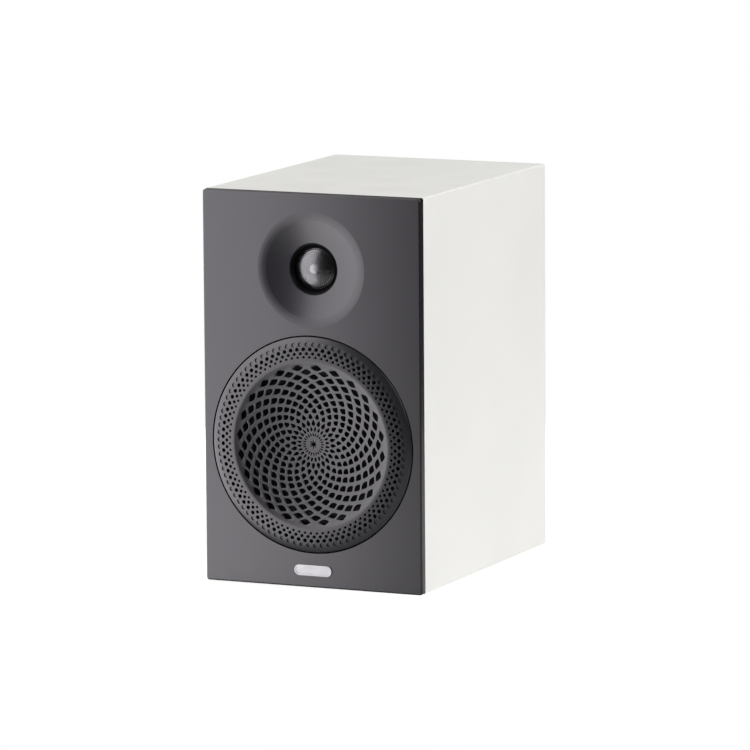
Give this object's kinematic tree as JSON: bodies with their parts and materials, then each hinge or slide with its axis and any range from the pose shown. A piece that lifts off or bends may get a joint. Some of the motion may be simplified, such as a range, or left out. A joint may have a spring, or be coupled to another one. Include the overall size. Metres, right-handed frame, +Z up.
{
  "type": "bookshelf speaker",
  "caption": "Two-way bookshelf loudspeaker with perforated woofer and tweeter lenses, rear reflex port and binding posts.",
  "frame": {"origin": "on the floor under the middle of the object box", "axes": "+Z up, front faces -Y, +X to the right seen from the front"},
  "size_m": [0.1982, 0.2742, 0.331],
  "materials": {
    "white_wrap": "satin white vinyl wrap over fibreboard",
    "fibreboard": "bare fibreboard",
    "wadding": "bonded polyester wadding",
    "cover_plastic": "fine moulded grain",
    "badge_metal": "satin",
    "magnet_plating": "nickel plated",
    "lens_plastic": "fine moulded grain",
    "frame_metal": "black powder coat",
    "foam": "closed-cell foam",
    "black_steel": "black zinc",
    "surround_rubber": "satin",
    "cone_paper": "pulp and mineral composite",
    "former_foil": "foil",
    "copper_wire": "enamelled",
    "spider_cloth": "phenolic cloth",
    "zinc_steel": "zinc plated",
    "ferrite": "sintered",
    "board_laminate": "phenolic laminate",
    "tinsel_braid": "braided",
    "black_plastic": "moulded",
    "lens_metal": "satin",
    "dome_metal": "satin",
    "dome_cloth": "coated",
    "post_plating": "polished",
    "red_band": "moulded",
    "black_band": "moulded",
    "tinned_brass": "tinned",
    "nylon": "moulded",
    "nylon_black": "moulded",
    "capacitor_film": "wrapped film",
    "ceramic": "ceramic",
    "wire_sleeve": "insulation"
  },
  "bodies": {
    "cabinet": {"bottom_panel": "white_wrap", "right_panel": "white_wrap", "top_panel": "white_wrap", "left_panel": "white_wrap", "rear_panel": "white_wrap", "front_board": "fibreboard", "window_brace": "fibreboard", "damping_lining": "wadding", "front_cover": "cover_plastic", "badge": "badge_metal", "grille_magnets": "magnet_plating", "woofer_lens": "lens_plastic", "woofer_frame": "frame_metal", "woofer_gasket": "foam", "woofer_screws": "black_steel", "woofer_surround": "surround_rubber", "woofer_spider": "spider_cloth", "top_plate": "zinc_steel", "ferrite_magnet": "ferrite", "pole_and_back_plate": "zinc_steel", "woofer_terminal_strip": "board_laminate", "tinsel_leads": "tinsel_braid", "tweeter_faceplate": "black_plastic", "tweeter_screws": "black_steel", "tweeter_collar": "black_plastic", "tweeter_lens": "lens_metal", "tweeter_surround": "dome_cloth", "tweeter_top_plate": "zinc_steel", "tweeter_magnet": "ferrite", "tweeter_yoke": "zinc_steel", "tweeter_rear_chamber": "black_plastic", "port_tube": "black_plastic", "terminal_cup": "black_plastic", "terminal_gasket": "foam", "terminal_screws": "black_steel", "positive_post": "post_plating", "negative_post": "post_plating", "solder_tags": "tinned_brass", "post_nuts": "post_plating", "crossover_board": "board_laminate", "board_spacers": "nylon", "board_screws": "black_steel", "inductor_bobbins": "nylon_black", "inductor_windings": "copper_wire", "capacitors": "capacitor_film", "resistors": "ceramic", "wiring_loom": "wire_sleeve"},
    "woofer_cone_group": {"woofer_cone": "cone_paper", "dust_cap": "cone_paper", "voice_coil_former": "former_foil", "voice_coil": "copper_wire"},
    "tweeter_dome_group": {"tweeter_dome": "dome_metal", "tweeter_former": "former_foil", "tweeter_coil": "copper_wire"},
    "positive_washer": {"positive_clamp_washer": "post_plating"},
    "positive_cap_group": {"positive_cap": "post_plating", "positive_cap_band": "red_band"},
    "negative_washer": {"negative_clamp_washer": "post_plating"},
    "negative_cap_group": {"negative_cap": "post_plating", "negative_cap_band": "black_band"}
  },
  "joints": [
    {"name": "woofer_cone_slide", "type": "slide", "parent": "cabinet", "child": "woofer_cone_group", "axis": [0, -1, 0], "range_m": [-0.005, 0.005], "stiffness_N_per_m": 1400, "deforming": ["woofer_surround", "woofer_spider", "tinsel_leads"]},
    {"name": "tweeter_dome_slide", "type": "slide", "parent": "cabinet", "child": "tweeter_dome_group", "axis": [0, -1, 0], "range_m": [-0.0003, 0.0003], "stiffness_N_per_m": 1200, "deforming": ["tweeter_surround"]},
    {"name": "positive_washer_slide", "type": "slide", "parent": "cabinet", "child": "positive_washer", "axis": [0, 1, 0], "range_m": [0, 0.005]},
    {"name": "positive_cap_turn", "type": "hinge", "parent": "positive_washer", "child": "positive_cap_group", "pos_m": [0.00953, 0.1085, 0.072], "axis": [0, 1, 0], "range_deg": [0, 1800]},
    {"name": "negative_washer_slide", "type": "slide", "parent": "cabinet", "child": "negative_washer", "axis": [0, 1, 0], "range_m": [0, 0.005]},
    {"name": "negative_cap_turn", "type": "hinge", "parent": "negative_washer", "child": "negative_cap_group", "pos_m": [-0.00953, 0.1085, 0.072], "axis": [0, 1, 0], "range_deg": [0, 1800]}
  ],
  "couplings": [
    {"joint": "positive_washer_slide", "follows": "positive_cap_turn", "m_per_rad": 0.00015915},
    {"joint": "negative_washer_slide", "follows": "negative_cap_turn", "m_per_rad": 0.00015915}
  ]
}
